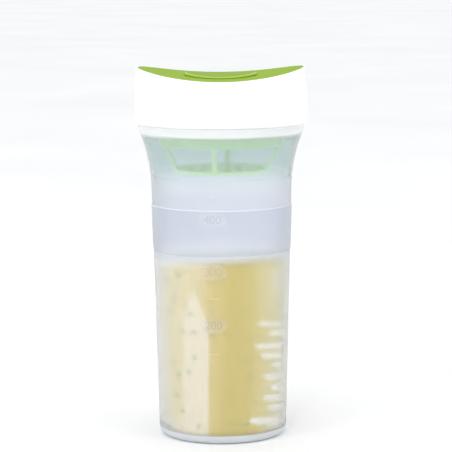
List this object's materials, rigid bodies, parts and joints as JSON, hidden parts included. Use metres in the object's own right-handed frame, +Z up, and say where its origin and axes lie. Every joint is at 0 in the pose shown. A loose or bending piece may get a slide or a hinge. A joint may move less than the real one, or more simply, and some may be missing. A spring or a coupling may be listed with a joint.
{
  "type": "salad dressing shaker bottle",
  "caption": "Frosted shaker bottle with a flared neck, a white screw cap with a saddle-shaped rim, a green pour insert with a flip cap, and a strainer basket in the neck.",
  "frame": {"origin": "centre of the bottle's base, on the surface that it stands on", "axes": "+Z up along the bottle's axis; the front of the lid, opposite its hinge, faces -Y; the lid's raised ears are at +X and -X"},
  "size_m": [0.0896, 0.0896, 0.191],
  "materials": {
    "frosted_plastic": "frosted, see-through, slightly blue-white",
    "white_plastic": "smooth white",
    "green_plastic": "smooth lime green",
    "silicone": "matt milky silicone"
  },
  "bodies": {
    "bottle": {"bottle": "frosted_plastic"},
    "gasket": {"lid_gasket": "silicone"},
    "lid": {"cap_shell": "white_plastic", "pour_insert": "green_plastic"},
    "flip_cap": {"flip_cap": "green_plastic", "flip_cap_seal": "silicone"},
    "strainer": {"strainer_basket": "green_plastic"}
  },
  "joints": [
    {"name": "cap_lift", "type": "slide", "parent": "bottle", "child": "gasket", "axis": [0, 0, 1], "range_m": [0, 0.0481]},
    {"name": "cap_turn", "type": "hinge", "parent": "gasket", "child": "lid", "pos_m": [0, 0, 0.17], "axis": [0, 0, 1], "range_deg": [0, 1080]},
    {"name": "flip_cap_hinge", "type": "hinge", "parent": "lid", "child": "flip_cap", "pos_m": [0, 0.022, 0.18352], "axis": [-1, 0, 0], "range_deg": [0, 110]},
    {"name": "strainer_slide", "type": "slide", "parent": "lid", "child": "strainer", "axis": [0, 0, -1], "range_m": [0, 0.02]}
  ],
  "couplings": [
    {"joint": "cap_lift", "follows": "cap_turn", "m_per_rad": 0.0025465}
  ]
}
